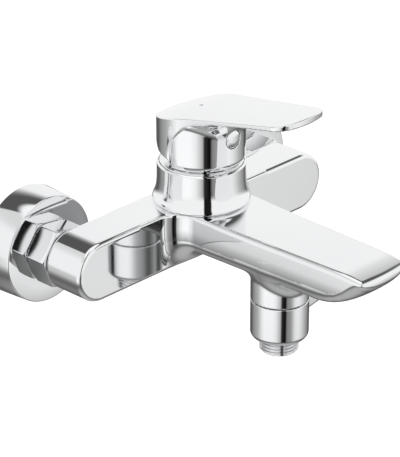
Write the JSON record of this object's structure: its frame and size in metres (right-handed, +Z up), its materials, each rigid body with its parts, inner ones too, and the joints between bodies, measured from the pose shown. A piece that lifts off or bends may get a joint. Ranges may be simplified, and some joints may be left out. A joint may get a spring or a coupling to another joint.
{
  "type": "wall mounted bath mixer",
  "caption": "Wall mounted single-lever bath mixer with a flat bath spout, a ceramic cartridge under the lever and a threaded shower outlet with a rotary diverter below the spout.",
  "frame": {"origin": "on the finished wall plane, midway between the two inlet axes and at their height", "axes": "+X to the right along the body bar for a user who faces the wall, +Y into the wall, +Z up; the part is stored as it hangs in use, lever closed and diverter set to the bath"},
  "size_m": [0.2094, 0.2007, 0.1343],
  "materials": {
    "polished_chrome": "mirror polished",
    "raw_brass": "turned",
    "stainless_steel": "drawn",
    "valve_ceramic": "lapped",
    "seal_rubber": "matte",
    "black_plastic": "moulded",
    "white_plastic": "moulded",
    "grey_plastic": "moulded"
  },
  "bodies": {
    "body": {"body_casting": "polished_chrome", "rosette_left": "polished_chrome", "rosette_right": "polished_chrome", "union_nut_left": "polished_chrome", "union_nut_right": "polished_chrome", "inlet_seal_left": "seal_rubber", "inlet_seal_right": "seal_rubber", "eccentric_union_left": "raw_brass", "eccentric_union_right": "raw_brass", "cartridge_base": "black_plastic", "fixed_ceramic_disc": "valve_ceramic", "cartridge_housing": "white_plastic", "cartridge_ring_nut": "raw_brass", "dome_ring": "polished_chrome", "aerator_washer": "seal_rubber", "aerator_housing": "polished_chrome", "aerator_insert": "white_plastic", "shower_nipple": "polished_chrome", "diverter_seat_disc": "valve_ceramic", "diverter_o_ring": "seal_rubber", "sleeve_clip": "stainless_steel", "check_valve_cage": "white_plastic", "check_valve_spring": "stainless_steel"},
    "turret": {"stem_guide": "grey_plastic", "stem_pin": "stainless_steel"},
    "lever": {"lever": "polished_chrome", "lever_stem": "raw_brass", "lever_grub_screw": "stainless_steel", "screw_plug": "polished_chrome", "lever_indicator": "grey_plastic"},
    "mixing_disc": {"moving_ceramic_disc": "valve_ceramic", "disc_carrier": "grey_plastic"},
    "diverter": {"diverter_sleeve": "polished_chrome", "diverter_drive_collar": "raw_brass", "diverter_rotor": "grey_plastic"},
    "poppet": {"check_valve_poppet": "white_plastic"}
  },
  "joints": [
    {"name": "temperature_turn", "type": "hinge", "parent": "body", "child": "turret", "pos_m": [0, -0.055, 0.034], "axis": [0, 0, 1], "range_deg": [-45, 45]},
    {"name": "lever_lift", "type": "hinge", "parent": "turret", "child": "lever", "pos_m": [0, -0.055, 0.034], "axis": [-1, 0, 0], "range_deg": [0, 25]},
    {"name": "disc_slide", "type": "slide", "parent": "turret", "child": "mixing_disc", "axis": [0, -1, 0], "range_m": [0, 0.0062]},
    {"name": "diverter_turn", "type": "hinge", "parent": "body", "child": "diverter", "pos_m": [0, -0.1106, -0.034], "axis": [0, 0, 1], "range_deg": [0, 90]},
    {"name": "check_valve_slide", "type": "slide", "parent": "body", "child": "poppet", "axis": [0, 0, -1], "range_m": [0, 0.0016], "stiffness_N_per_m": 150, "springref_m": -0.003, "deforming": ["check_valve_spring"]}
  ],
  "couplings": [
    {"joint": "disc_slide", "follows": "lever_lift", "m_per_rad": 0.014}
  ]
}
